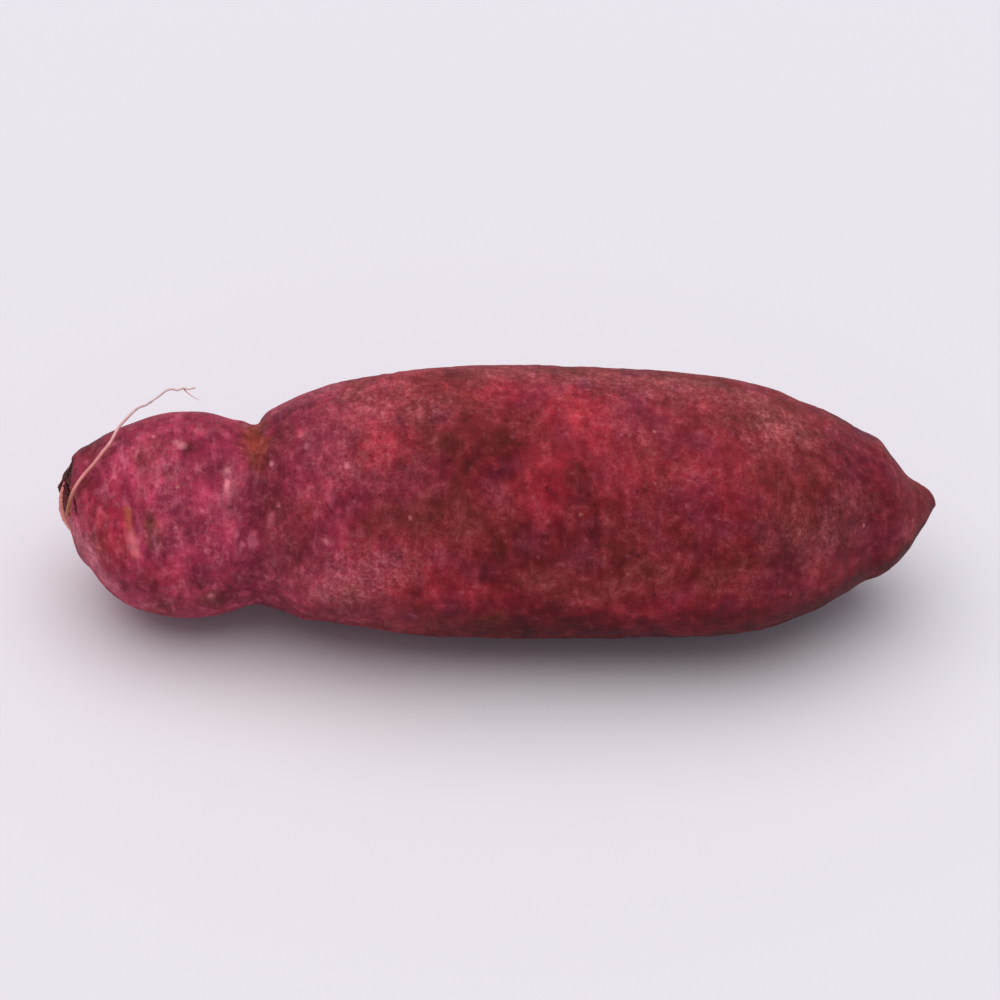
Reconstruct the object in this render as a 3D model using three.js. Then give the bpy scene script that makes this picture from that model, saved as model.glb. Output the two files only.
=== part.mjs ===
// A purple-skinned sweet potato: one storage root lying on its side, with a
// rounded stem-end bulb, a neck, a nearly straight-sided body and a pointed
// tail, and one thin dry rootlet that springs from the scar at the stem end.
// Millimetres. +X runs along the root towards the pointed tail, +Z is up, and
// z = 0 is the flat spot on the underside that the root rests on.

import * as THREE from 'three';
import { mergeVertices } from 'three/addons/utils/BufferGeometryUtils.js';

// ---- driving dimensions -------------------------------------------------

const SEGMENTS_ROUND = 48; // facets around the root
const SEGMENTS_LONG = 56; // facets from the stem end to the tail

const WIDE = 1.02; // every section is a little wider than it is round ...
const TALL = 0.98; // ... and a little lower

const FLAT_BLEND = 0.35; // height over which the side rolls into the flat spot

const STEM_FADE = 9; // the lengthwise swells die out this far from the stem end
const TAIL_FADE = 14; // and this far from the tail

// Stations along the root: [x, mean radius, spine y, spine z]
const STATIONS = [
[-56.78, 0.00, 2.35, 16.90],
  [-56.50, 0.31, 2.63, 16.76],
  [-55.95, 1.74, 2.83, 16.48],
  [-55.13, 4.01, 2.22, 16.04],
  [-53.95, 6.67, 1.44, 15.40],
  [-52.30, 8.11, 1.30, 14.80],
  [-50.18, 10.17, 0.72, 14.30],
  [-47.59, 11.69, 0.33, 14.10],
  [-44.76, 12.78, 0.24, 14.10],
  [-41.70, 13.34, 0.26, 14.10],
  [-38.87, 13.37, 0.16, 14.32],
  [-36.52, 13.04, -0.10, 14.52],
  [-34.63, 12.48, -0.36, 14.68],
  [-33.22, 12.18, -0.53, 14.87],
  [-31.92, 12.01, -0.65, 15.05],
  [-30.63, 12.39, -0.34, 15.23],
  [-29.21, 12.94, -0.26, 15.42],
  [-27.57, 13.70, -0.39, 15.65],
  [-25.68, 14.72, -0.79, 15.90],
  [-23.09, 15.65, -0.89, 16.11],
  [-19.79, 16.48, -0.95, 16.31],
  [-15.55, 16.94, -0.80, 16.51],
  [-10.37, 17.32, -0.53, 16.58],
  [-3.77, 17.72, -0.30, 16.60],
  [3.33, 17.84, -0.34, 16.60],
  [10.45, 17.72, -0.58, 16.60],
  [17.58, 17.49, -0.85, 16.53],
  [23.52, 17.25, -1.01, 16.37],
  [28.27, 16.88, -1.21, 16.23],
  [31.84, 16.29, -1.44, 16.07],
  [35.17, 15.49, -1.43, 15.90],
  [38.25, 14.30, -1.21, 15.74],
  [41.34, 13.09, -0.71, 15.57],
  [44.19, 11.40, -0.24, 15.42],
  [46.81, 9.79, 0.16, 15.29],
  [48.95, 8.88, 0.12, 15.19],
  [50.84, 7.04, -0.57, 15.14],
  [52.49, 5.12, -0.64, 15.10],
  [53.91, 3.63, 0.14, 15.06],
  [55.08, 2.43, 0.80, 15.04],
  [55.98, 1.06, 1.40, 15.01],
  [56.35, 0.00, 0.95, 15.00],
];

// Lengthwise swells: [swells around, share of the radius, phase, twist per mm]
const SWELLS = [
  [2, 0.020, -0.70, -0.012],
  [3, 0.016, 1.10, 0.020],
  [4, 0.010, -0.60, -0.034],
  [5, 0.008, 2.00, 0.045],
  [7, 0.004, -1.30, 0.060],
];

// Single bumps and hollows: [x, angle from the top towards -Y in degrees,
// half length in mm, half spread in degrees, height]
const BUMPS = [
  [-27.5, 20, 3.5, 40, 0.35],
  [-12, -75, 7, 24, -0.55],
  [10, -130, 9, 26, -0.5],
  [22, 60, 8, 22, -0.35],
  [3, 55, 9, 20, 0.3],
  [34, -40, 7, 26, 0.4],
  [-44, 150, 5, 40, -0.4],
  [38, 120, 6, 24, -0.4],
  [-20, 165, 6, 30, -0.35],
  [18, -165, 8, 22, 0.35],
  [-20.8, 134, 7, 34.5, -1.28],
];

// The dry rootlet: a round section swept along this line
const ROOTLET_DIAMETER = 0.46;
const ROOTLET_SIDES = 8;
const ROOTLET_STEPS = 60;
const ROOTLET_PATH = [
  [-55.13, -3.28, 18.00],
  [-54.91, -3.22, 19.40],
  [-54.46, -3.01, 21.03],
  [-53.77, -2.51, 22.21],
  [-52.77, -1.80, 23.22],
  [-51.78, -1.39, 24.36],
  [-50.79, -0.61, 25.41],
  [-49.80, 0.36, 26.16],
  [-49.21, 1.69, 26.48],
  [-48.63, 3.21, 26.57],
  [-47.81, 3.83, 27.24],
  [-46.90, 4.44, 27.91],
  [-46.13, 4.85, 28.36],
  [-45.22, 5.11, 28.63],
  [-44.38, 5.47, 29.03],
  [-43.54, 5.88, 29.47],
  [-42.73, 6.29, 29.92],
  [-42.03, 6.45, 30.09],
  [-41.28, 6.38, 30.00],
  [-40.51, 6.51, 30.13],
  [-39.76, 6.47, 30.07],
  [-38.99, 6.57, 30.17],
];

// ---- shape --------------------------------------------------------------

const X_STEM = STATIONS[0][0];
const X_TAIL = STATIONS[STATIONS.length - 1][0];

// position along the root, 0 at the stem end and 1 at the tail, spaced so that
// both rounded ends are well covered
const share = (x) =>
  Math.acos(THREE.MathUtils.clamp(1 - (2 * (x - X_STEM)) / (X_TAIL - X_STEM), -1, 1)) / Math.PI;

const knots = STATIONS.map(([x]) => share(x));

// smooth curve through one column of the stations
function column(index) {
  const values = STATIONS.map((station) => station[index]);
  const last = values.length - 1;
  const step = (i) => knots[i + 1] - knots[i];
  const slope = (i) => (values[i + 1] - values[i]) / step(i);
  const tangents = values.map((_, i) => {
    if (i === 0) return slope(0);
    if (i === last) return slope(last - 1);
    return (slope(i - 1) * step(i) + slope(i) * step(i - 1)) / (step(i - 1) + step(i));
  });
  return (u) => {
    let i = 0;
    while (i < last - 1 && u >= knots[i + 1]) i += 1;
    const h = step(i);
    const t = (u - knots[i]) / h;
    return (
      (2 * t ** 3 - 3 * t ** 2 + 1) * values[i] +
      (t ** 3 - 2 * t ** 2 + t) * h * tangents[i] +
      (-2 * t ** 3 + 3 * t ** 2) * values[i + 1] +
      (t ** 3 - t ** 2) * h * tangents[i + 1]
    );
  };
}

const radiusAt = column(1);
const spineY = column(2);
const spineZ = column(3);

function swell(x, angle) {
  return SWELLS.reduce(
    (sum, [count, size, phase, twist]) => sum + size * Math.cos(count * angle + phase + twist * x),
    0,
  );
}

function bump(x, angle) {
  return BUMPS.reduce((sum, [bx, degrees, length, spread, height]) => {
    const turn = THREE.MathUtils.euclideanModulo(angle - THREE.MathUtils.degToRad(degrees) + Math.PI, 2 * Math.PI) - Math.PI;
    return sum + height * Math.exp(-(((x - bx) / length) ** 2) - (turn / THREE.MathUtils.degToRad(spread)) ** 2);
  }, 0);
}

// the underside rolls smoothly into the plane z = 0
function aboveFloor(z) {
  if (z > FLAT_BLEND) return z;
  if (z < -FLAT_BLEND) return 0;
  return (z + FLAT_BLEND) ** 2 / (4 * FLAT_BLEND);
}

// a point of the skin: u along the root, angle from the top towards -Y
function skin(u, angle) {
  const x = X_STEM + ((X_TAIL - X_STEM) * (1 - Math.cos(Math.PI * u))) / 2;
  const near = Math.min((x - X_STEM) / STEM_FADE, (X_TAIL - x) / TAIL_FADE);
  const fade = THREE.MathUtils.clamp(near, 0, 1) ** 0.8;
  const radius = radiusAt(u) * (1 + swell(x, angle) * fade) + bump(x, angle) * fade;
  return new THREE.Vector3(
    x,
    spineY(u) - WIDE * radius * Math.sin(angle),
    aboveFloor(spineZ(u) + TALL * radius * Math.cos(angle)),
  );
}

// only positions are kept, so that every shared corner is one vertex
function weld(geometry) {
  geometry.deleteAttribute('normal');
  geometry.deleteAttribute('uv');
  return mergeVertices(geometry, 1e-5);
}

function tuberGeometry() {
  const geometry = weld(new THREE.SphereGeometry(1, SEGMENTS_ROUND, SEGMENTS_LONG));
  const position = geometry.attributes.position;
  for (let i = 0; i < position.count; i += 1) {
    const a = position.getX(i);
    const b = THREE.MathUtils.clamp(position.getY(i), -1, 1);
    const c = position.getZ(i);
    const point = skin(Math.acos(b) / Math.PI, Math.atan2(-a, c));
    position.setXYZ(i, point.x, point.y, point.z);
  }
  geometry.computeVertexNormals();
  return geometry;
}

function rootletGeometry() {
  const section = new THREE.Shape();
  for (let i = 0; i < ROOTLET_SIDES; i += 1) {
    const a = (2 * Math.PI * i) / ROOTLET_SIDES;
    const x = (ROOTLET_DIAMETER / 2) * Math.cos(a);
    const y = (ROOTLET_DIAMETER / 2) * Math.sin(a);
    if (i === 0) section.moveTo(x, y);
    else section.lineTo(x, y);
  }
  section.closePath();
  const path = new THREE.CatmullRomCurve3(
    ROOTLET_PATH.map((p) => new THREE.Vector3(...p)),
    false,
    'centripetal',
  );
  const geometry = weld(
    new THREE.ExtrudeGeometry(section, { steps: ROOTLET_STEPS, extrudePath: path, bevelEnabled: false }),
  );
  geometry.computeVertexNormals();
  return geometry;
}

// ---- the root -----------------------------------------------------------

const tuber = new THREE.Mesh(
  tuberGeometry(),
  new THREE.MeshStandardMaterial({ color: 0x7d2d3c, roughness: 0.72, metalness: 0 }),
);
tuber.name = 'tuber';

const rootlet = new THREE.Mesh(
  rootletGeometry(),
  new THREE.MeshStandardMaterial({ color: 0xd9b3a3, roughness: 0.75, metalness: 0 }),
);
rootlet.name = 'rootlet';

const sweetPotato = new THREE.Group();
sweetPotato.name = 'sweet_potato';
sweetPotato.add(tuber, rootlet);

// the frame's origin is the middle of the outer box, on the floor
const box = new THREE.Box3().setFromObject(sweetPotato, true);
sweetPotato.position.set(-(box.min.x + box.max.x) / 2, -(box.min.y + box.max.y) / 2, -box.min.z);
sweetPotato.updateMatrixWorld(true);

export default sweetPotato;
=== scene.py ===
"""A purple-skinned sweet potato: the looks over the CAD root.

Everything below is in the root's own millimetres until the very end, where
each mesh is moved by ORIGIN and turned into metres. +X runs to the pointed
tail, +Z is up, z = 0 is the flat spot that the root rests on.
"""

import math

import bpy
import numpy as np
from mathutils import Matrix, Vector


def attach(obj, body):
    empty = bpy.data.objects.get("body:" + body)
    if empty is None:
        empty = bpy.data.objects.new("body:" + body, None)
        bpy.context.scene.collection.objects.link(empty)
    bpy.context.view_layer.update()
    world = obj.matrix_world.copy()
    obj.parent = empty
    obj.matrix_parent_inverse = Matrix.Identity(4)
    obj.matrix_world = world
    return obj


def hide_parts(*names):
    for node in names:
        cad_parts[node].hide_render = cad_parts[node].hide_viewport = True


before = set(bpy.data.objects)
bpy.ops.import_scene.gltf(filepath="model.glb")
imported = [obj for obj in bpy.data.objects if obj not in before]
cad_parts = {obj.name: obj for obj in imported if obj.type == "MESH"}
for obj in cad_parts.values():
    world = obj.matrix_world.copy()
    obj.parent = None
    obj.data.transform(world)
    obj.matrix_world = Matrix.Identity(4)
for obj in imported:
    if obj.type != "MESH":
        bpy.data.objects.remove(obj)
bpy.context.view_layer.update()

# ---------------------------------------------------------------------------
# the root's own shape: the same numbers as the CAD source
# ---------------------------------------------------------------------------

ORIGIN = np.array([0.215, 0.5365, 0.0])
MM = 0.001

WIDE, TALL = 1.02, 0.98
FLAT_BLEND = 0.35
STEM_FADE, TAIL_FADE = 9.0, 14.0

# x, mean radius, spine y, spine z
STATIONS = np.array([
    [-56.78, 0.00, 2.35, 16.90], [-56.50, 0.31, 2.63, 16.76], [-55.95, 1.74, 2.83, 16.48],
    [-55.13, 4.01, 2.22, 16.04], [-53.95, 6.67, 1.44, 15.40], [-52.30, 8.11, 1.30, 14.80],
    [-50.18, 10.17, 0.72, 14.30], [-47.59, 11.69, 0.33, 14.10], [-44.76, 12.78, 0.24, 14.10],
    [-41.70, 13.34, 0.26, 14.10], [-38.87, 13.37, 0.16, 14.32], [-36.52, 13.04, -0.10, 14.52],
    [-34.63, 12.48, -0.36, 14.68], [-33.22, 12.18, -0.53, 14.87], [-31.92, 12.01, -0.65, 15.05],
    [-30.63, 12.39, -0.34, 15.23], [-29.21, 12.94, -0.26, 15.42], [-27.57, 13.70, -0.39, 15.65],
    [-25.68, 14.72, -0.79, 15.90], [-23.09, 15.65, -0.89, 16.11], [-19.79, 16.48, -0.95, 16.31],
    [-15.55, 16.94, -0.80, 16.51], [-10.37, 17.32, -0.53, 16.58], [-3.77, 17.72, -0.30, 16.60],
    [3.33, 17.84, -0.34, 16.60], [10.45, 17.72, -0.58, 16.60], [17.58, 17.49, -0.85, 16.53],
    [23.52, 17.25, -1.01, 16.37], [28.27, 16.88, -1.21, 16.23], [31.84, 16.29, -1.44, 16.07],
    [35.17, 15.49, -1.43, 15.90], [38.25, 14.30, -1.21, 15.74], [41.34, 13.09, -0.71, 15.57],
    [44.19, 11.40, -0.24, 15.42], [46.81, 9.79, 0.16, 15.29], [48.95, 8.88, 0.12, 15.19],
    [50.84, 7.04, -0.57, 15.14], [52.49, 5.12, -0.64, 15.10], [53.91, 3.63, 0.14, 15.06],
    [55.08, 2.43, 0.80, 15.04], [55.98, 1.06, 1.40, 15.01], [56.35, 0.00, 0.95, 15.00],
])

SWELLS = [
    (2, 0.020, -0.70, -0.012),
    (3, 0.016, 1.10, 0.020),
    (4, 0.010, -0.60, -0.034),
    (5, 0.008, 2.00, 0.045),
    (7, 0.004, -1.30, 0.060),
]

BUMPS = [
    (-27.5, 20, 3.5, 40, 0.35),
    (-12, -75, 7, 24, -0.55),
    (10, -130, 9, 26, -0.5),
    (22, 60, 8, 22, -0.35),
    (3, 55, 9, 20, 0.3),
    (34, -40, 7, 26, 0.4),
    (-44, 150, 5, 40, -0.4),
    (38, 120, 6, 24, -0.4),
    (-20, 165, 6, 30, -0.35),
    (18, -165, 8, 22, 0.35),
    (-20.8, 134, 7, 34.5, -1.28),
]

ROOTLET_PATH = np.array([
    [-55.13, -3.28, 18.00], [-54.91, -3.22, 19.40], [-54.46, -3.01, 21.03], [-53.77, -2.51, 22.21],
    [-52.77, -1.80, 23.22], [-51.78, -1.39, 24.36], [-50.79, -0.61, 25.41], [-49.80, 0.36, 26.16],
    [-49.21, 1.69, 26.48], [-48.63, 3.21, 26.57], [-47.81, 3.83, 27.24], [-46.90, 4.44, 27.91],
    [-46.13, 4.85, 28.36], [-45.22, 5.11, 28.63], [-44.38, 5.47, 29.03], [-43.54, 5.88, 29.47],
    [-42.73, 6.29, 29.92], [-42.03, 6.45, 30.09], [-41.28, 6.38, 30.00], [-40.51, 6.51, 30.13],
    [-39.76, 6.47, 30.07], [-38.99, 6.57, 30.17],
])

X_STEM, X_TAIL = STATIONS[0, 0], STATIONS[-1, 0]
KNOTS = np.arccos(np.clip(1 - 2 * (STATIONS[:, 0] - X_STEM) / (X_TAIL - X_STEM), -1, 1)) / np.pi


def column(values):
    h = np.diff(KNOTS)
    d = np.diff(values) / h
    m = np.empty(len(values))
    m[0], m[-1] = d[0], d[-1]
    m[1:-1] = (d[:-1] * h[1:] + d[1:] * h[:-1]) / (h[:-1] + h[1:])

    def at(u):
        i = np.clip(np.searchsorted(KNOTS, u, side="right") - 1, 0, len(h) - 1)
        t = (u - KNOTS[i]) / h[i]
        return (
            (2 * t**3 - 3 * t**2 + 1) * values[i]
            + (t**3 - 2 * t**2 + t) * h[i] * m[i]
            + (-2 * t**3 + 3 * t**2) * values[i + 1]
            + (t**3 - t**2) * h[i] * m[i + 1]
        )

    return at


radius_at = column(STATIONS[:, 1])
spine_y = column(STATIONS[:, 2])
spine_z = column(STATIONS[:, 3])


def x_at(u):
    return X_STEM + (X_TAIL - X_STEM) * (1 - np.cos(np.pi * u)) / 2


def wrap(a):
    return (a + np.pi) % (2 * np.pi) - np.pi


def skin(u, angle):
    """The smooth CAD skin before it meets the floor. angle is from the top towards -Y."""
    x = x_at(u)
    fade = np.clip(np.minimum((x - X_STEM) / STEM_FADE, (X_TAIL - x) / TAIL_FADE), 0, 1) ** 0.8
    swell = sum(s * np.cos(n * angle + p + w * x) for n, s, p, w in SWELLS)
    bump = sum(
        h * np.exp(-(((x - bx) / l) ** 2) - (wrap(angle - math.radians(d)) / math.radians(s)) ** 2)
        for bx, d, l, s, h in BUMPS
    )
    r = radius_at(u) * (1 + swell * fade) + bump * fade
    return np.stack(
        np.broadcast_arrays(
            x, spine_y(u) - WIDE * r * np.sin(angle), spine_z(u) + TALL * r * np.cos(angle)
        ),
        -1,
    )


def above_floor(z):
    k = FLAT_BLEND
    return np.where(z > k, z, np.where(z < -k, 0.0, (z + k) ** 2 / (4 * k)))


# ---------------------------------------------------------------------------
# seeded noise
# ---------------------------------------------------------------------------


def cell_hash(ix, iy, iz, seed):
    def u32(a):
        return (a & 0xFFFFFFFF).astype(np.uint32)

    h = (
        (u32(ix) * np.uint32(0x8DA6B343))
        ^ (u32(iy) * np.uint32(0xD8163841))
        ^ (u32(iz) * np.uint32(0xCB1AB31F))
        ^ np.uint32((seed * 0x9E3779B9 + 0x7F4A7C15) & 0xFFFFFFFF)
    )
    h ^= h >> np.uint32(15)
    h *= np.uint32(0x2C1B3C6D)
    h ^= h >> np.uint32(12)
    h *= np.uint32(0x297A2D39)
    h ^= h >> np.uint32(15)
    return h


def noise(p, seed):
    """Gradient noise, about -1 to 1, one cell to a unit."""
    i = np.floor(p).astype(np.int64)
    f = p - i
    w = f * f * f * (f * (f * 6 - 15) + 10)
    out = np.zeros(p.shape[:-1])
    for dx in (0, 1):
        for dy in (0, 1):
            for dz in (0, 1):
                h = cell_hash(i[..., 0] + dx, i[..., 1] + dy, i[..., 2] + dz, seed)
                g = [((h >> np.uint32(s)) & np.uint32(1023)) / 511.5 - 1.0 for s in (0, 10, 20)]
                dot = g[0] * (f[..., 0] - dx) + g[1] * (f[..., 1] - dy) + g[2] * (f[..., 2] - dz)
                out += (
                    dot
                    * (w[..., 0] if dx else 1 - w[..., 0])
                    * (w[..., 1] if dy else 1 - w[..., 1])
                    * (w[..., 2] if dz else 1 - w[..., 2])
                )
    return out * 1.3


def fbm(p, seed, octaves=3, gain=0.5):
    out, a = 0.0, 1.0
    for k in range(octaves):
        out = out + a * noise(p * 2.03**k, seed + 17 * k)
        a *= gain
    return out


def smooth(a, lo, hi):
    t = np.clip((a - lo) / (hi - lo), 0, 1)
    return t * t * (3 - 2 * t)


def segment_distance(p, a, b):
    a, b = np.array(a, float), np.array(b, float)
    t = np.clip(((p - a) @ (b - a)) / ((b - a) @ (b - a)), 0, 1)
    return np.linalg.norm(p - (a + t[..., None] * (b - a)), axis=-1), t


# ---------------------------------------------------------------------------
# the fine skin
# ---------------------------------------------------------------------------

ROWS, ROUND = 404, 240
STEM = np.array([X_STEM, STATIONS[0, 2], STATIONS[0, 3]])

# rows at even steps along the profile, closer at the ends and in the neck
fine_u = np.linspace(0, 1, 6001)
profile = np.stack([x_at(fine_u), radius_at(fine_u)], -1)
run = np.concatenate([[0], np.cumsum(np.linalg.norm(np.diff(profile, axis=0), axis=1))])
LENGTH = run[-1]
neck_run = np.interp(-31.5, profile[:, 0], run)
density = (
    1
    + 1.7 * np.exp(-((run / 8.0) ** 2))
    + 0.9 * np.exp(-(((LENGTH - run) / 7.0) ** 2))
    + 0.6 * np.exp(-(((run - neck_run) / 3.5) ** 2))
)
spent = np.concatenate([[0], np.cumsum((density[1:] + density[:-1]) / 2 * np.diff(run))])
row_u = np.interp(np.linspace(0, spent[-1], ROWS + 1), spent, fine_u)[1:-1]
angles = np.linspace(0, 2 * np.pi, ROUND, endpoint=False) - np.pi

U, A = np.meshgrid(row_u, angles, indexing="ij")
base = skin(U, A)
X = base[..., 0]
R = radius_at(U)

du = 1e-4
across = skin(np.clip(U + du, 0, 1), A) - skin(np.clip(U - du, 0, 1), A)
around = skin(U, A + du) - skin(U, A - du)
normal = np.cross(across, around)
normal /= np.linalg.norm(normal, axis=-1, keepdims=True)
outward = base - np.stack([X, spine_y(U), spine_z(U)], -1)
if (normal * outward).sum() < 0:
    normal = -normal

calm = smooth(R, 0.0, 3.0)  # detail dies away at the two poles
stretch = base * np.array([1.0, 0.10, 0.10])

relief = (
    0.20 * fbm(base / 12.0, 3, 2)
    + 0.11 * noise(base / 5.2, 11)
    + 0.075 * noise(base / 2.6, 23)
    + 0.040 * noise(base / 1.3, 31)
)

# fine creases that run round the root
warp = 1.6 * noise(base / 6.0, 41) + 0.5 * noise(base / 2.0, 42)
ridge = 1 - np.abs(noise(np.stack([(X + warp) / 2.1, stretch[..., 1] + 0.3, stretch[..., 2]], -1), 43))
where = smooth(noise(base / 14.0, 47), -0.25, 0.55)
creases = smooth(ridge, 0.84, 1.0) * (0.15 + 0.85 * where)
relief -= 0.07 * creases

# a few long shallow dips that run with the root
furrow = 1 - np.abs(noise(np.stack([X / 24.0, np.sin(A) * 2.2, np.cos(A) * 2.2], -1) + 0.06 * noise(base / 4.0, 51)[..., None], 53))
relief -= 0.10 * smooth(furrow, 0.70, 1.0) * smooth(noise(base / 11.0, 57), -0.3, 0.5)

# the neck: a soft ring, cut deepest in the notch on the far upper side
neck_x = -31.6 + 0.55 * np.sin(A + 0.6) + 0.45 * noise(np.stack([np.sin(A) * 1.7, np.cos(A) * 1.7, 0 * A], -1), 59)
notch = np.exp(-((wrap(A - math.radians(-38)) / math.radians(44)) ** 2))
neck = np.exp(-(((X - neck_x) / (0.95 + 0.5 * (1 - notch))) ** 2))
relief -= neck * (0.20 + 0.55 * notch)
second = np.exp(-(((X - neck_x - 2.6) / 0.7) ** 2)) * np.exp(-((wrap(A - math.radians(30)) / math.radians(40)) ** 2))
relief -= 0.16 * second

# where old roots left the skin: x, angle, length round the root, width along it, depth
EYES = [
    (-38.0, -95, 1.9, 0.55, 0.22),
    (-41.5, 160, 1.6, 0.50, 0.20),
    (-20.5, 48, 1.5, 0.45, 0.16),
    (-14.0, -38, 2.0, 0.55, 0.24),
    (-3.0, 78, 1.7, 0.50, 0.16),
    (9.5, 22, 1.4, 0.42, 0.13),
    (24.0, 63, 1.8, 0.50, 0.18),
    (29.0, -20, 1.6, 0.50, 0.18),
    (41.0, 40, 1.3, 0.40, 0.16),
    (-24.5, 122, 2.0, 0.55, 0.22),
    (-7.0, 146, 1.6, 0.50, 0.20),
    (14.5, 118, 1.8, 0.55, 0.22),
    (33.0, 150, 1.5, 0.50, 0.20),
    (-18.0, -122, 2.1, 0.60, 0.26),
    (1.0, -84, 1.8, 0.55, 0.24),
    (17.0, -150, 2.0, 0.60, 0.24),
    (20.5, -62, 1.7, 0.50, 0.22),
    (36.0, -100, 1.7, 0.50, 0.22),
]
eyes = np.zeros_like(X)
for ex, ed, el, ew, depth in EYES:
    turn = wrap(A - math.radians(ed))
    du_, dv_ = (X - ex) + 0.25 * noise(base / 1.3, 61), turn * R
    d2 = (du_ / ew) ** 2 + (dv_ / el) ** 2
    eyes = np.maximum(eyes, np.exp(-d2) * depth / 0.24)
    relief += -depth * np.exp(-d2) + 0.35 * depth * np.exp(-((np.sqrt(d2) - 1.9) / 0.6) ** 2)
    relief += 0.10 * depth * np.exp(-((np.hypot(X - ex, turn * R) / 4.0) ** 2))

# the split eye on the bulb, a thin slit that leans a little
slit_d, slit_t = segment_distance(base, skin(np.array(KNOTS[7]), np.array(math.radians(40))), skin(np.array(KNOTS[7] + 0.011), np.array(math.radians(70))))
slit_w = 0.36 + 0.20 * smooth(slit_t, 0.45, 0.75) + 0.10 * noise(base / 0.8, 67)
slit = np.exp(-((slit_d / slit_w) ** 2))
relief -= 0.22 * slit
relief += 0.10 * np.exp(-(((slit_d - 0.75) / 0.35) ** 2))

# the tail: faint rings towards a small blunt tip
tail = smooth(X, 44.0, 54.0)
rings_ = noise(np.stack([(X + 0.4 * warp) / 0.95, np.sin(A) * 0.9, np.cos(A) * 0.9], -1), 71)
relief += tail * 0.030 * rings_

point = base + normal * (relief * calm)[..., None]

# the stem-end scar: a torn, slightly sunken end with a ragged rim
off = base - STEM
rho = np.hypot(off[..., 1], off[..., 2])
phi = np.arctan2(off[..., 2], -off[..., 1])
ring = np.stack([np.cos(phi) * 2.2, np.sin(phi) * 2.2, rho * 0], -1)
near_side = np.exp(-((wrap(phi - math.radians(70)) / math.radians(60)) ** 2))
scar_r = 3.70 + 0.70 * near_side + 0.34 * noise(ring, 73) + 0.32 * noise(ring * 3.1, 79) + 0.12 * noise(ring * 7.0, 81)
end = smooth(-X, 52.0, 53.6)
inside = smooth(scar_r - rho, -0.10, 0.45) * end
rim = np.exp(-(((rho - scar_r - 0.30) / 0.34) ** 2)) * end
fibres = noise(np.stack([np.cos(phi) * 8.5, np.sin(phi) * 8.5, rho * 0.5], -1), 83)
torn = fbm(np.stack([off[..., 0] * 0 + 3.0, off[..., 1] / 1.0, off[..., 2] / 1.0], -1), 89, 3, 0.6)
bundle = np.exp(-((np.hypot(off[..., 1] + 0.2, off[..., 2] - 0.3) / 0.9) ** 2)) * end
depth = inside * (0.20 + 0.20 * torn + 0.12 * fibres)
low_near = np.exp(-((wrap(phi - math.radians(-25)) / math.radians(48)) ** 2)) * smooth(rho, 0.8, 2.2)
depth -= inside * low_near * 0.42
depth -= rim * (0.10 + 0.16 * noise(ring * 4.0, 97))
depth -= bundle * 0.30
point[..., 0] += depth * smooth(rho, 0.0, 0.3)

# clefts beside the rootlet's foot and on the stem end, sunk into the skin; the dark colour in them is painted shade
CLEFTS = [
    ((-55.50, 0.97, 18.81), (-55.14, -1.25, 18.05), 0.36, 0.55),
    ((-54.62, -2.25, 19.30), (-54.00, -4.42, 18.43), 0.30, 0.50),
    ((-54.9, 3.9, 20.3), (-55.4, 1.6, 19.4), 0.30, 0.35),
    ((-55.20, -1.35, 13.35), (-54.66, -3.3, 13.9), 0.30, 0.30),
]
cleft = np.zeros_like(X)
for a, b, w, deep in CLEFTS:
    d, t = segment_distance(base, a, b)
    w = w * (0.55 + 0.9 * np.sin(np.pi * np.clip(t, 0.04, 0.96)))
    g = np.exp(-((d / w) ** 2))
    cleft = np.maximum(cleft, g)
    point -= normal * (deep * g)[..., None]

point[..., 2] = above_floor(point[..., 2])

# ---------------------------------------------------------------------------
# what the skin's colour follows: soft masks, one number a vertex
# ---------------------------------------------------------------------------


def unit(n):
    return (n - n.mean()) / n.std()


# how light or dark the skin is, with about as much change at every size
tone = (
    0.055 * unit(noise(base / 15.0, 301))
    + 0.080 * unit(noise(base / 7.5, 303))
    + 0.090 * unit(noise(base / 3.8, 305))
    + 0.106 * unit(np.exp(0.26 * unit(noise(base / 1.9, 307))))
    + 0.112 * unit(np.exp(0.40 * unit(noise(base / 1.05, 309))))
)
bulb = smooth(-X, 26.0, 36.0)
tone *= 1.0 + 0.10 * bulb - 0.06 * smooth(X, 10.0, 30.0)
tone = np.where(tone < 0, tone * (1 - 0.25 * bulb), tone)


def pool(px, pd, pl, pr):
    """A broad soft pool of light or dark: x, angle, reach along (mm) and round (degrees)."""
    return np.exp(-(((X - px) / pl) ** 2) - (wrap(A - math.radians(pd)) / math.radians(pr)) ** 2)


# painted light and shade in the tone: the top ridge lighter, part dust and part painted grazing light; the underside
# darker with painted shade; low on the near side of the left half lighter with painted bounce light
ridge_light_and_dust = np.exp(-((wrap(A - math.radians(-26)) / math.radians(24)) ** 2)) * smooth(X, -30.0, -22.0) * smooth(-X, -44.0, -34.0)
below = smooth(-np.cos(A), -0.10, 0.24) * smooth(X, -16.0, 0.0)
painted_bounce_light = np.exp(-((wrap(A - math.radians(82)) / math.radians(22)) ** 2)) * smooth(X, -30.0, -24.0) * smooth(-X, 6.0, 14.0)
tone += 0.20 * ridge_light_and_dust - 0.46 * below + 0.27 * painted_bounce_light
tone += 0.20 * pool(-18, 15, 8, 26) + 0.17 * pool(43, 57, 5, 24) + 0.08 * pool(-44, 70, 9, 34)
# painted shade on the stem end's shoulder and under the neck, and a painted shadow along the far top of the bulb
tone -= 0.42 * pool(-54.0, -20, 3.0, 34) + 0.30 * pool(-34.5, 101, 2.8, 15) + 0.16 * pool(-42, -6, 11, 15)
tone += 0.12 * pool(24, -8, 14, 17) - 0.16 * pool(-24, -14, 7, 20) - 0.20 * pool(-2, 22, 14, 34)
# and whether it leans to brown or to plum
warmth = (
    0.55 * unit(noise(base / 9.0, 311)) + 0.65 * unit(noise(base / 4.0, 313)) + 0.28 * unit(noise(base / 1.8, 315))
)

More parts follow.
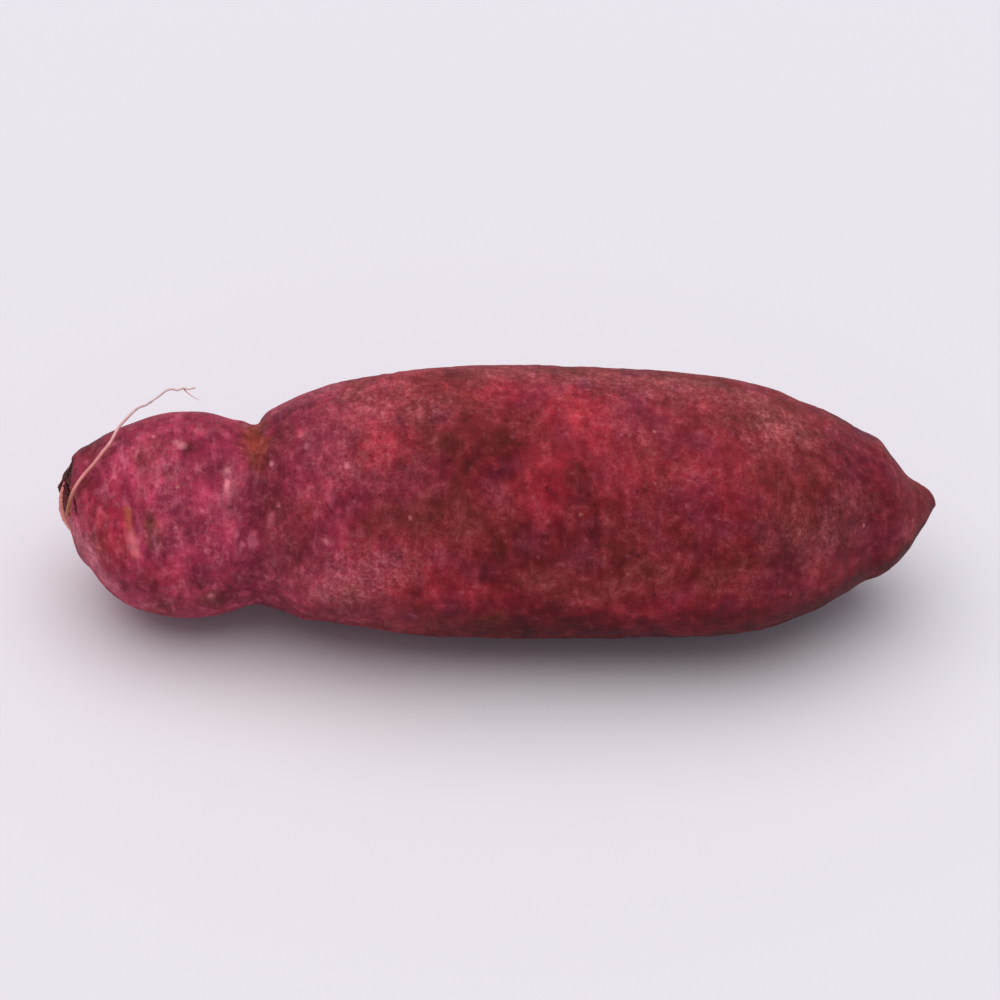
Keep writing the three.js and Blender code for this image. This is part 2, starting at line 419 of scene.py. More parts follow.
warp_x = 1.3 * noise(base / 5.5, 321) + 1.0 * noise(base / 2.1, 322) + 0.5 * noise(base / 0.9, 323)
warp_a = 1.3 * noise(base / 5.5, 331) + 1.0 * noise(base / 2.1, 332) + 0.5 * noise(base / 0.9, 333)


def patches(items, wobble=0.35, seed=101, bend=1.0):
    """Soft ragged patches: x, angle, length along, length round (mm), strength."""
    n = wobble * noise(base / 2.6, seed) + 0.7 * wobble * noise(base / 1.1, seed + 1)
    keep = np.ones_like(X)
    for px, pd, pl, pr, s in items:
        d = np.hypot((X + bend * warp_x - px) / pl, (wrap(A - math.radians(pd)) * R + bend * warp_a) / pr)
        keep *= 1 - s * (1 - smooth(d + n, 0.15, 1.35))
    return 1 - keep


red = patches([
    (-15.3, 20, 4.8, 3.6, 1.0),
    (9.4, 12, 5.0, 5.0, 0.8),
    (2.0, -6, 8.0, 3.4, 0.5),
    (5.2, 42, 4.4, 6.0, 0.9),
    (-8.5, 84, 7.0, 4.4, 0.8),
    (-2.0, 94, 5.5, 3.4, 0.6),
    (20.0, 100, 12.0, 5.0, 0.6),
    (27.0, 32, 6.0, 6.0, 0.4),
    (14.0, 34, 5.0, 4.0, 0.4),
    (-49.5, 70, 3.2, 5.0, 0.9),
    (-50.0, 42, 3.0, 3.4, 0.7),
    (-43.0, 84, 4.0, 3.4, 0.6),
    (42.0, 84, 5.0, 4.0, 0.4),
    (-12.0, -92, 6.0, 5.0, 0.9),
    (14.0, -118, 7.0, 5.5, 0.9),
    (2.0, -58, 6.0, 5.0, 0.7),
    (31.0, -70, 6.0, 5.5, 0.8),
    (-40.0, -70, 4.0, 6.0, 0.7),
    (-3.0, 150, 8.0, 6.0, 0.7),
    (26.0, 165, 6.0, 5.0, 0.7),
    (-22.0, -160, 6.0, 6.0, 0.8),
], seed=101)
violet = patches([
    (-25.0, 14, 6.0, 8.0, 0.8),
    (-30.5, 40, 4.6, 9.0, 0.8),
    (-31.5, 74, 3.6, 6.0, 0.9),
    (-11.0, 35, 4.2, 4.2, 0.8),
    (-18.0, 38, 6.0, 5.0, 0.5),
    (35.0, 80, 5.0, 3.6, 0.8),
    (44.5, 10, 6.0, 6.0, 0.5),
    (46.0, 60, 6.0, 6.0, 0.5),
    (20.0, 8, 6.0, 5.0, 0.4),
    (-26.0, -80, 6.0, 10.0, 0.7),
    (-6.0, -140, 7.0, 8.0, 0.6),
    (22.0, -90, 7.0, 8.0, 0.6),
    (40.0, -130, 6.0, 7.0, 0.7),
    (-30.0, 150, 5.0, 9.0, 0.7),
], seed=113)
olive = patches([
    (8.0, 62, 16.0, 9.0, 0.5),
    (37.5, 52, 8.0, 9.0, 0.8),
    (-27.0, 66, 4.4, 7.0, 0.6),
    (-2.0, 104, 10.0, 3.0, 0.6),
    (33.0, 26, 6.0, 4.0, 0.4),
    (-20.0, 98, 6.0, 3.6, 0.6),
    (-36.0, 100, 5.0, 5.0, 0.6),
    (-52.2, -16, 3.4, 5.0, 0.9),
    (-16.0, -60, 9.0, 7.0, 0.5),
    (18.0, -40, 9.0, 8.0, 0.5),
    (8.0, -160, 14.0, 8.0, 0.6),
    (38.0, 170, 8.0, 7.0, 0.6),
    (-45.0, -140, 5.0, 6.0, 0.6),
], seed=127)
# dust patches; those along the top ridge also stand in for painted sheen
dust_and_sheen = patches([
    (-17.0, -4, 6.0, 4.5, 0.6),
    (-9.5, 5, 4.5, 3.0, 0.9),
    (6.0, -20, 12.0, 3.6, 0.7),
    (22.0, -14, 12.0, 3.8, 0.7),
    (34.0, 2, 7.0, 5.0, 0.8),
    (-24.0, -18, 6.0, 3.6, 0.6),
    (-20.0, 84, 5.0, 3.8, 1.0),
    (-14.0, 74, 5.0, 3.0, 0.6),
    (-52.0, 98, 3.4, 4.4, 1.0),
    (-52.0, 56, 2.4, 3.0, 0.4),
    (-45.0, 6, 5.0, 4.5, 0.4),
    (42.5, 55, 5.0, 5.0, 0.6),
    (-17.0, 18, 8.0, 7.0, 0.5),
    (-35.2, 22, 1.6, 1.8, 0.4),
    (-34.0, 32, 2.2, 6.0, 0.5),
    (-42.0, 26, 4.0, 3.0, 0.5),
    (37.0, 62, 5.0, 4.0, 0.5),
    (-4.0, -70, 10.0, 7.0, 0.6),
    (30.0, -110, 7.0, 6.0, 0.6),
    (-38.0, -110, 5.0, 6.0, 0.6),
    (10.0, 160, 13.0, 9.0, 0.5),
], wobble=0.5, seed=139)
rust = patches([
    (-31.8, -8, 2.0, 4.4, 1.0),
    (-31.2, 8, 1.5, 3.6, 0.8),
    (-1.0, 104, 1.8, 1.4, 0.8),
    (-30.6, -60, 1.2, 3.4, 0.8),
], wobble=0.4, seed=151)
spot = patches([
    (-44.7, 54, 1.6, 2.6, 1.0),
    (-43.9, 61, 1.3, 2.0, 0.8),
    (-2.2, 104, 2.0, 1.2, 0.5),
    (12.5, -60, 2.2, 2.6, 0.8),
    (-24.0, 160, 2.4, 2.4, 0.7),
], wobble=0.3, seed=181, bend=0.45)
blush = patches([
    (-53.0, 96, 2.2, 4.6, 1.0),
    (-51.0, 108, 3.2, 2.6, 0.8),
    (-35.2, 22, 1.0, 1.4, 0.3),
    (-34.6, 34, 1.2, 3.0, 0.5),
    (-53.5, -150, 2.4, 4.0, 0.7),
], wobble=0.5, seed=171)
bright = patches([
    (-40.6, 8, 0.60, 0.50, 0.95),
    (-41.3, 5, 0.35, 0.40, 0.8),
    (-35.1, 21, 0.42, 0.40, 0.8),
    (-34.9, 29, 0.30, 0.80, 0.8),
    (-29.3, 21, 0.36, 0.34, 0.8),
    (-24.9, 16, 0.50, 0.70, 0.6),
    (-28.4, 45, 0.32, 0.40, 0.6),
    (-37.4, 68, 0.30, 0.44, 0.45),
    (-38.0, 45, 0.28, 0.40, 0.45),
    (-44.0, 30, 0.26, 0.50, 0.45),
    (-20.0, 28, 0.30, 0.36, 0.6),
    (-12.0, 52, 0.30, 0.34, 0.5),
    (-22.5, 62, 0.34, 0.36, 0.5),
    (-43.0, -30, 0.50, 0.70, 0.6),
    (-37.0, 100, 0.60, 0.60, 0.5),
], wobble=0.35, seed=191, bend=0.25)
magenta = smooth(-(X + 0.6 * warp_x), 28.0, 36.0) * (0.75 + 0.30 * noise(base / 6.0, 163)) + smooth(-X, 8.0, 24.0) * 0.50
magenta = np.clip(magenta * (1 - 0.6 * smooth(-X, 52.5, 56.0)) * (1 - 0.35 * smooth(-base[..., 2], -9.0, -3.0)), 0, 1)
# painted shade: darker in the neck groove, creases, eyes and second crease, at the tail end, on the stem end's
# shoulder and along the underside, with a thin darker edge low on the near side of the stem end
dark = np.clip(
    0.75 * neck * (0.3 + 0.9 * notch) * (1 - 0.8 * rust)
    + 0.40 * creases
    + 0.8 * eyes
    + 0.08 * smooth(X + warp_x, 39.0, 46.0)
    + 0.25 * smooth(X + 0.3 * warp_x, 54.4, 56.0)
    + 0.4 * second
    + 0.30 * pool(-55.0, -16, 1.3, 34) * smooth(rho, 3.4, 5.0)
    + 0.40 * pool(-53.7, 124, 1.0, 26)
    + 0.42 * smooth(-np.cos(A), 0.06, 0.30) * smooth(X, -16.0, 0.0),
    0,
    1,
)
cork = np.clip(inside * 1.05, 0, 1)
pale = np.clip(rim * smooth(noise(ring * 3.3, 167), -0.1, 0.5) * smooth(phi, 1.2, -0.4), 0, 1)
streak = np.clip(slit * smooth(slit_t, 0.0, 0.12) * 1.4, 0, 1)
# painted shade down in the clefts
cleft_shade = np.clip(1.3 * cleft, 0, 1)


def grid_mesh(name, rows, first, last, uv_rows):
    """A closed mesh from rings of points, each ring a turn, with a point at each end."""
    n, m = rows.shape[:2]
    verts = np.concatenate([[first], rows.reshape(-1, 3), [last]])
    ring_ids = 1 + np.arange(n * m).reshape(n, m)
    nxt = np.roll(ring_ids, -1, axis=1)
    quads = np.stack([ring_ids[:-1], nxt[:-1], nxt[1:], ring_ids[1:]], -1).reshape(-1, 4)
    head = np.stack([np.zeros(m, int), nxt[0], ring_ids[0]], -1)
    foot = np.stack([np.full(m, n * m + 1), ring_ids[-1], nxt[-1]], -1)
    loops = np.concatenate([head.ravel(), quads.ravel(), foot.ravel()])
    sizes = np.concatenate([np.full(m, 3), np.full(len(quads), 4), np.full(m, 3)])
    starts = np.concatenate([[0], np.cumsum(sizes)[:-1]])
    me = bpy.data.meshes.new(name)
    me.vertices.add(len(verts))
    me.vertices.foreach_set("co", ((verts + ORIGIN) * MM).astype(np.float32).ravel())
    me.loops.add(len(loops))
    me.loops.foreach_set("vertex_index", loops.astype(np.int32))
    me.polygons.add(len(sizes))
    me.polygons.foreach_set("loop_start", starts.astype(np.int32))
    me.polygons.foreach_set("use_smooth", np.ones(len(sizes), bool))
    me.update(calc_edges=True)
    me.validate()
    # a map that unrolls the skin, with its seam underneath
    v0 = np.arange(m) / m
    v1 = (np.arange(m) + 1) / m
    a, b = uv_rows[:-1], uv_rows[1:]
    q = np.empty((n - 1, m, 4, 2))
    q[..., 0, 0] = q[..., 1, 0] = a[:, None]
    q[..., 2, 0] = q[..., 3, 0] = b[:, None]
    q[..., 0, 1] = q[..., 3, 1] = v0
    q[..., 1, 1] = q[..., 2, 1] = v1
    h = np.empty((m, 3, 2))
    h[:, 0] = np.stack([np.zeros(m), (v0 + v1) / 2], -1)
    h[:, 1] = np.stack([np.full(m, uv_rows[0]), v1], -1)
    h[:, 2] = np.stack([np.full(m, uv_rows[0]), v0], -1)
    t = np.empty((m, 3, 2))
    t[:, 0] = np.stack([np.ones(m), (v0 + v1) / 2], -1)
    t[:, 1] = np.stack([np.full(m, uv_rows[-1]), v0], -1)
    t[:, 2] = np.stack([np.full(m, uv_rows[-1]), v1], -1)
    uv = np.concatenate([h.reshape(-1, 2), q.reshape(-1, 2), t.reshape(-1, 2)])
    uv = 0.002 + 0.996 * uv
    layer = me.uv_layers.new(name="OFBake")
    layer.uv.foreach_set("vector", uv.astype(np.float32).ravel())
    ob = bpy.data.objects.new(name, me)
    bpy.context.scene.collection.objects.link(ob)
    return ob


def add_mask(ob, name, values, first=None, last=None):
    full = np.concatenate([
        [values[0].mean() if first is None else first],
        values.ravel(),
        [values[-1].mean() if last is None else last],
    ])
    layer = ob.data.attributes.new(name, "FLOAT", "POINT")
    layer.data.foreach_set("value", full.astype(np.float32))


stem_tip = STEM + [depth[0].mean() * 1.0, 0, 0]
tail_tip = np.array([X_TAIL, STATIONS[-1, 2], STATIONS[-1, 3]])
row_run = np.interp(row_u, fine_u, run) / LENGTH
skin_ob = grid_mesh("sweet_potato_skin", point, stem_tip, tail_tip, row_run)
for mask_name, mask in {
    "red": red,
    "violet": violet,
    "olive": olive,
    "dust_and_sheen": dust_and_sheen,
    "rust": rust,
    "blush": blush,
    "spot": spot,
    "magenta": magenta,
    "painted_shade": dark,
    "cork": cork,
    "pale": pale,
    "streak": streak,
    "cleft": cleft_shade,
    "bright": bright,
    "streak_low": smooth(slit_t, 0.42, 0.62),
    "tone": tone,
    "warmth": warmth,
}.items():
    add_mask(skin_ob, mask_name, mask)

# ---------------------------------------------------------------------------
# the rootlet, its side branch and the torn fibres round the scar
# ---------------------------------------------------------------------------


def spline(points, count):
    """Centripetal-like smooth line through the points, evenly spaced."""
    p = np.array(points, float)
    p = np.vstack([2 * p[0] - p[1], p, 2 * p[-1] - p[-2]])
    out = []
    for k in range(1, len(p) - 2):
        t = np.linspace(0, 1, 24, endpoint=False)[:, None]
        a, b, c, d = p[k - 1], p[k], p[k + 1], p[k + 2]
        out.append(
            0.5 * ((2 * b) + (c - a) * t + (2 * a - 5 * b + 4 * c - d) * t**2 + (3 * b - a - 3 * c + d) * t**3)
        )
    out = np.vstack([*out, p[-2:-1]])
    s = np.concatenate([[0], np.cumsum(np.linalg.norm(np.diff(out, axis=0), axis=1))])
    at = np.linspace(0, s[-1], count)
    return np.stack([np.interp(at, s, out[:, k]) for k in range(3)], -1)


def strand(points, radii, count=60, sides=12, flat=1.0, seed=1, rough=0.12):
    """Rings of a thin, slightly uneven tube along the points, and its two ends."""
    line = spline(points, count)
    share = np.linspace(0, 1, count)
    r = np.interp(share, np.linspace(0, 1, len(radii)), radii)
    tangent = np.gradient(line, axis=0)
    tangent /= np.linalg.norm(tangent, axis=1, keepdims=True)
    side = np.cross(tangent[0], [0.3, 0.2, 1.0])
    side /= np.linalg.norm(side)
    rings = []
    turn = np.linspace(0, 2 * np.pi, sides, endpoint=False)
    for k in range(count):
        side = side - tangent[k] * (side @ tangent[k])
        side /= np.linalg.norm(side)
        other = np.cross(tangent[k], side)
        ring_ = np.cos(turn)[:, None] * side * flat + np.sin(turn)[:, None] * other
        rings.append(line[k] + ring_ * r[k])
    rings = np.array(rings)
    bumps = 1 + rough * noise(np.stack([
        np.broadcast_to(share[:, None] * count / 3.0, rings.shape[:2]),
        np.broadcast_to(np.cos(turn) * 1.2, rings.shape[:2]),
        np.broadcast_to(np.sin(turn) * 1.2, rings.shape[:2]),
    ], -1), seed)
    rings = line[:, None] + (rings - line[:, None]) * bumps[..., None]
    return rings, line[0] - tangent[0] * r[0] * 0.5, line[-1] + tangent[-1] * r[-1] * 0.8


def strands_object(name, items):
    """One object holding several separate closed strands."""
    verts, faces, along = [], [], []
    for rings, first, last in items:
        base_id = sum(len(v) for v in verts)
        n, m = rings.shape[:2]
        verts.append(np.concatenate([[first], rings.reshape(-1, 3), [last]]))
        along.append(np.concatenate([[0], np.repeat(np.linspace(0, 1, n), m), [1]]))
        ids = base_id + 1 + np.arange(n * m).reshape(n, m)
        nxt = np.roll(ids, -1, axis=1)
        faces += [tuple(f) for f in np.stack([ids[:-1], nxt[:-1], nxt[1:], ids[1:]], -1).reshape(-1, 4)]
        faces += [(base_id, nxt[0, k], ids[0, k]) for k in range(m)]
        faces += [(base_id + 1 + n * m, ids[-1, k], nxt[-1, k]) for k in range(m)]
    verts = (np.concatenate(verts) + ORIGIN) * MM
    me = bpy.data.meshes.new(name)
    me.from_pydata([tuple(v) for v in verts], [], [tuple(int(i) for i in f) for f in faces])
    me.polygons.foreach_set("use_smooth", np.ones(len(me.polygons), bool))
    me.update()
    me.validate()
    layer = me.attributes.new("along", "FLOAT", "POINT")
    layer.data.foreach_set("value", np.concatenate(along).astype(np.float32))
    ob = bpy.data.objects.new(name, me)
    bpy.context.scene.collection.objects.link(ob)
    return ob


foot = [(-55.05, -2.0, 16.3), (-55.28, -2.75, 17.0)]
main_path = np.vstack([foot, ROOTLET_PATH])
wiggle = np.stack([
    0.05 * noise(np.stack([main_path[:, 0] * 1.7, main_path[:, 2] * 1.7, 0 * main_path[:, 0] + k], -1), 200 + k)
    for k in range(3)
], -1)
main = strand(main_path + wiggle, [0.34, 0.30, 0.26, 0.255, 0.25, 0.24, 0.235, 0.225, 0.20, 0.19, 0.14], 200, 14, 0.85, 211)
end_point = ROOTLET_PATH[-2]
branch = strand([
    ROOTLET_PATH[-3], ROOTLET_PATH[-3] + [0.5, -0.25, -0.45], ROOTLET_PATH[-3] + [1.25, -0.55, -0.95], ROOTLET_PATH[-3] + [2.2, -0.8, -1.35],
], [0.07, 0.06, 0.05, 0.03], 30, 8, 1.0, 223)
rootlet_ob = strands_object("dry_rootlet", [main, branch])

rng = np.random.RandomState(7)
# the pale torn strand that stands along the end's outline
torn_ob = strands_object("torn_skin_strand", [strand([[-55.74, 1.9, 18.23], [-56.02, 1.2, 16.80], [-56.05, 0.55, 15.36], [-55.80, -0.15, 14.21], [-55.36, -0.8, 13.41], [-54.90, -1.5, 12.92], [-54.74, -2.1, 12.60]], [0.12, 0.36, 0.50, 0.54, 0.46, 0.28, 0.08], 70, 14, 0.85, 227, 0.24)])
fibre_items = []


def scar_point(y, z):
    dist = np.hypot(base[..., 1] - y, base[..., 2] - z) + 100 * (X > -50)
    return point.reshape(-1, 3)[dist.argmin()].copy()


# short torn fibres that lie across the scar; the raised stub in its middle is part of the skin mesh
for k in range(22):
    a = rng.uniform(0, 2 * np.pi)
    r0 = 3.3 * math.sqrt(rng.uniform(0.02, 1.0))
    turn = a + rng.uniform(-0.5, 0.5)
    length = rng.uniform(0.5, 1.5)
    line = []
    for share in (0.0, 0.35, 0.7, 1.0):
        r1 = r0 + (share - 0.5) * length
        y = STEM[1] - math.cos(a) * max(r1, 0.1) + 0.12 * math.sin(5 * share + k)
        z = STEM[2] + math.sin(a) * max(r1, 0.1)
        q = scar_point(y, z)
        q[0] -= 0.02 + 0.16 * share * rng.uniform(0.2, 1.0)
        line.append(q)
    w = rng.uniform(0.06, 0.13)
    fibre_items.append(strand(line, [w * 0.8, w, w * 0.8, w * 0.3], 16, 7, 0.8, 300 + k, 0.25))
fibres_ob = strands_object("stem_scar_fibres", fibre_items)

# ---------------------------------------------------------------------------
# materials
# ---------------------------------------------------------------------------


def srgb(r, g, b):
    def lin(c):
        c /= 255.0
        return c / 12.92 if c <= 0.04045 else ((c + 0.055) / 1.055) ** 2.4

    return (lin(r), lin(g), lin(b), 1.0)


class Nodes:
    def __init__(self, name):
        self.mat = bpy.data.materials.new(name)
        self.mat.use_nodes = True
        self.tree = self.mat.node_tree
        self.tree.nodes.clear()
        self.out = self.node("ShaderNodeOutputMaterial")
        self.bsdf = self.node("ShaderNodeBsdfPrincipled")
        self.link(self.bsdf.outputs[0], self.out.inputs["Surface"])
        coord = self.node("ShaderNodeTexCoord")
        scale = self.node("ShaderNodeMapping")
        scale.inputs["Scale"].default_value = (1000, 1000, 1000)
        self.link(coord.outputs["Object"], scale.inputs["Vector"])
        self.mm = scale.outputs[0]

    def node(self, kind, **set_):
        n = self.tree.nodes.new(kind)
        for k, v in set_.items():
            setattr(n, k, v)
        return n

    def link(self, a, b):
        self.tree.links.new(a, b)

    def put(self, socket, value):
        if hasattr(value, "is_linked") or isinstance(value, bpy.types.NodeSocket):
            self.link(value, socket)
        else:
            socket.default_value = value

    def mask(self, name):
        return self.node("ShaderNodeAttribute", attribute_name=name).outputs["Fac"]

    def scaled(self, sx, sy, sz, vector=None):
        n = self.node("ShaderNodeMapping")
        n.inputs["Scale"].default_value = (sx, sy, sz)
        self.link(vector or self.mm, n.inputs["Vector"])
        return n.outputs[0]

    def noise(self, scale, detail=2.0, rough=0.5, distortion=0.0, vector=None, w=0.0):
        n = self.node("ShaderNodeTexNoise", noise_dimensions="4D")
        n.inputs["Scale"].default_value = scale
        n.inputs["Detail"].default_value = detail
        n.inputs["Roughness"].default_value = rough
        n.inputs["Distortion"].default_value = distortion
        n.inputs["W"].default_value = w
        self.link(vector or self.mm, n.inputs["Vector"])
        return n.outputs["Fac"]

    def voronoi(self, scale, randomness=1.0, vector=None, output="Distance"):
        n = self.node("ShaderNodeTexVoronoi")
        n.inputs["Scale"].default_value = scale
        n.inputs["Randomness"].default_value = randomness
        self.link(vector or self.mm, n.inputs["Vector"])
        return n.outputs[output]

    def range(self, value, a, b, c=0.0, d=1.0, smooth_=True):
        n = self.node("ShaderNodeMapRange")
        n.interpolation_type = "SMOOTHSTEP" if smooth_ else "LINEAR"
        n.clamp = True if not smooth_ else n.clamp
        self.put(n.inputs["Value"], value)
        n.inputs["From Min"].default_value = a
        n.inputs["From Max"].default_value = b
        n.inputs["To Min"].default_value = c
        n.inputs["To Max"].default_value = d
        return n.outputs[0]

    def math(self, op, a, b=0.0, clamp=False):
        n = self.node("ShaderNodeMath", operation=op, use_clamp=clamp)
        self.put(n.inputs[0], a)
        self.put(n.inputs[1], b)
        return n.outputs[0]

    def mix(self, fac, a, b, blend="MIX"):
        n = self.node("ShaderNodeMix", data_type="RGBA", blend_type=blend)
        self.put(n.inputs[0], fac)
        self.put(n.inputs[6], a)
        self.put(n.inputs[7], b)
        return n.outputs[2]

    def times(self, colour, value):
        """colour scaled by one number"""
        n = self.node("ShaderNodeVectorMath", operation="SCALE")
        self.put(n.inputs[0], colour)
        self.put(n.inputs["Scale"], value)
        return n.outputs[0]

    def bump(self, height, distance, strength=1.0, normal_=None):
        n = self.node("ShaderNodeBump")
        n.inputs["Strength"].default_value = strength
        n.inputs["Distance"].default_value = distance
        self.link(height, n.inputs["Height"])
        if normal_ is not None:
            self.link(normal_, n.inputs["Normal"])
        return n.outputs[0]


MAROON = (126, 21, 32)
ROSE = (172, 46, 80)
BROWN = (116, 36, 34)
PLUM = (118, 26, 54)
CRIMSON = (167, 21, 44)
DUST = (205, 129, 131)
DEEP = (52, 6, 13)
PINK = (232, 128, 146)


def skin_material():
    m = Nodes("potato_skin")
    tone = m.mask("tone")
    warmth = m.mask("warmth")
    mottle = m.noise(1.6, 2, 0.7, 0.2, w=13.0)
    grain = m.noise(3.4, 2, 0.65, w=33.0)
    fine = m.noise(7.5, 2, 0.6, w=37.0)
    rings = m.noise(1.0, 3, 0.65, vector=m.scaled(1.7, 0.22, 0.22), w=41.0)

    maroon = srgb(*MAROON)
    rose = srgb(*ROSE)
    brown = srgb(*BROWN)
    plum = srgb(*PLUM)
    crimson = srgb(*CRIMSON)
    dust_c = srgb(*DUST)
    deep = srgb(*DEEP)

    c = m.mix(m.mask("magenta"), maroon, rose)
    c = m.mix(m.range(warmth, 0.0, 2.2, 0.0, 0.85, False), c, brown)
    c = m.mix(m.range(warmth, 0.0, -2.2, 0.0, 0.80, False), c, plum)
    c = m.mix(m.math("MULTIPLY", m.mask("violet"), 0.55), c, plum)
    c = m.mix(m.math("MULTIPLY", m.mask("olive"), 0.70), c, brown)
    c = m.mix(m.math("MULTIPLY", m.mask("red"), 0.76), c, crimson)
    c = m.mix(m.math("MULTIPLY", m.mask("rust"), 0.84), c, srgb(160, 64, 34))
    c = m.mix(m.math("MULTIPLY", m.mask("spot"), 0.88), c, srgb(112, 46, 42))
    c = m.mix(m.math("MULTIPLY", m.mask("blush"), m.range(mottle, 0.30, 0.62, 0.28, 0.70)), c, srgb(*PINK))

    # dust coat, thicker on the lighter spots; along the top ridge it is painted sheen as well
    speck = m.math("ADD", m.range(mottle, 0.42, 0.72), m.math("MULTIPLY", m.range(grain, 0.45, 0.72), 0.6))
    bloom_and_sheen = m.math("ADD", m.math("MULTIPLY", m.mask("dust_and_sheen"), 0.20), 0.0)
    bloom_and_sheen = m.math("ADD", bloom_and_sheen, m.range(tone, -0.40, 0.40, 0.0, 0.11, False))
    bloom_and_sheen = m.math("MULTIPLY", bloom_and_sheen, m.math("ADD", m.math("MULTIPLY", speck, 1.25), 0.35), clamp=True)
    c = m.mix(bloom_and_sheen, c, dust_c)
    # darker between them
    gaps = m.math("ADD", m.range(mottle, 0.46, 0.24, 0.0, 0.36), m.range(grain, 0.44, 0.26, 0.0, 0.28), clamp=True)
    c = m.mix(gaps, c, deep)

    # short pale and dark strokes that run round the root, clearest on the bulb
    arcs = m.noise(1.0, 1, 0.5, 0.3, vector=m.scaled(0.95, 0.42, 0.42), w=47.0)
    on_bulb = m.math("ADD", m.math("MULTIPLY", m.mask("magenta"), 0.26), 0.05)
    c = m.mix(m.math("MULTIPLY", m.range(arcs, 0.54, 0.76), on_bulb), c, srgb(224, 124, 148))
    c = m.mix(m.math("MULTIPLY", m.range(arcs, 0.45, 0.26), on_bulb), c, deep)

    # a broken net of fine pale lines
    loose = m.node("ShaderNodeVectorMath", operation="MULTIPLY_ADD")
    drift = m.node("ShaderNodeTexNoise", noise_dimensions="3D")
    drift.inputs["Scale"].default_value = 0.7
    drift.inputs["Detail"].default_value = 2.0
    m.link(m.mm, drift.inputs["Vector"])
    m.link(drift.outputs["Color"], loose.inputs[0])
    loose.inputs[1].default_value = (2.2, 2.2, 2.2)
    m.link(m.mm, loose.inputs[2])
    net = m.node("ShaderNodeTexVoronoi", feature="DISTANCE_TO_EDGE")
    net.inputs["Scale"].default_value = 0.42
    m.link(loose.outputs[0], net.inputs["Vector"])
    lines = m.math("MULTIPLY", m.range(net.outputs["Distance"], 0.085, 0.01), m.range(m.noise(0.55, 2, 0.6, w=71.0), 0.46, 0.62))
    c = m.mix(m.math("MULTIPLY", lines, m.math("ADD", m.math("MULTIPLY", m.mask("magenta"), 0.14), 0.04)), c, dust_c)

    # a few pale specks and dark pits, none of them round
    ragged = m.node("ShaderNodeVectorMath", operation="MULTIPLY_ADD")
    jitter = m.node("ShaderNodeTexNoise", noise_dimensions="3D")
    jitter.inputs["Scale"].default_value = 4.0
    jitter.inputs["Detail"].default_value = 1.0
    m.link(m.mm, jitter.inputs["Vector"])
    m.link(jitter.outputs["Color"], ragged.inputs[0])
    ragged.inputs[1].default_value = (0.55, 0.55, 0.55)
    m.link(m.mm, ragged.inputs[2])
    spots = m.node("ShaderNodeTexVoronoi")
    spots.inputs["Scale"].default_value = 0.30
    m.link(ragged.outputs[0], spots.inputs["Vector"])
    chosen = m.node("ShaderNodeSeparateColor")
    m.link(spots.outputs["Color"], chosen.inputs[0])
    pale_spot = m.math("MULTIPLY", m.range(spots.outputs["Distance"], 0.105, 0.03), m.range(chosen.outputs[0], 0.60, 0.85))
    c = m.mix(m.math("MULTIPLY", pale_spot, 0.42), c, srgb(222, 150, 140))
    pits_v = m.node("ShaderNodeTexVoronoi")
    pits_v.inputs["Scale"].default_value = 0.62
    m.link(ragged.outputs[0], pits_v.inputs["Vector"])
    chosen2 = m.node("ShaderNodeSeparateColor")
    m.link(pits_v.outputs["Color"], chosen2.inputs[0])
    pit = m.math("MULTIPLY", m.range(pits_v.outputs["Distance"], 0.26, 0.08), m.range(chosen2.outputs[1], 0.35, 0.9))
    c = m.mix(m.math("MULTIPLY", pit, 0.45), c, deep)
    # fine pale flecks about a millimetre apart, each of its own strength
    fleck_v = m.node("ShaderNodeTexVoronoi")
    fleck_v.inputs["Scale"].default_value = 0.95
    m.link(ragged.outputs[0], fleck_v.inputs["Vector"])
    chosen3 = m.node("ShaderNodeSeparateColor")
    m.link(fleck_v.outputs["Color"], chosen3.inputs[0])
    fleck = m.math("MULTIPLY", m.range(fleck_v.outputs["Distance"], 0.36, 0.08), m.range(chosen3.outputs[2], 0.30, 1.0, 0.0, 1.0, False))
    fleck = m.math("MULTIPLY", fleck, m.math("ADD", m.math("MULTIPLY", m.mask("magenta"), 0.09), 0.15))
    c = m.mix(fleck, c, dust_c)
    # painted shade in the creases, neck groove and eyes, at the tail, on the stem end's shoulder and under the body
    c = m.mix(m.math("MULTIPLY", m.mask("painted_shade"), 0.60), c, deep)
    # torn end
    torn_noise = m.noise(2.2, 4, 0.7, w=61.0)
    c = m.mix(m.mask("cork"), c, m.mix(m.range(torn_noise, 0.44, 0.70), srgb(74, 12, 24), srgb(118, 48, 42)))
    c = m.mix(m.math("MULTIPLY", m.mask("pale"), 0.7), c, srgb(206, 124, 110))
    streak_c = m.mix(m.mask("streak_low"), srgb(186, 92, 66), srgb(228, 116, 124))
    c = m.mix(m.math("MULTIPLY", m.mask("streak"), m.range(torn_noise, 0.30, 0.46, 0.50, 0.95)), c, streak_c)
    c = m.mix(m.math("MULTIPLY", m.mask("bright"), m.range(grain, 0.34, 0.56, 0.70, 1.0)), c, srgb(244, 146, 158))
    # painted shade in the clefts
    c = m.mix(m.mask("cleft"), c, srgb(40, 6, 10))
    # the last word on light and dark: the tone, with its painted light and shade, scales the colour
    value = m.math("ADD", m.math("MULTIPLY", tone, 0.82), 1.0)
    value = m.math("MULTIPLY", value, m.range(fine, 0.25, 0.75, 0.92, 1.08, False))
    value = m.math("MULTIPLY", value, m.range(rings, 0.28, 0.72, 0.84, 1.16, False))
    c = m.times(c, value)
    m.link(c, m.bsdf.inputs["Base Color"])

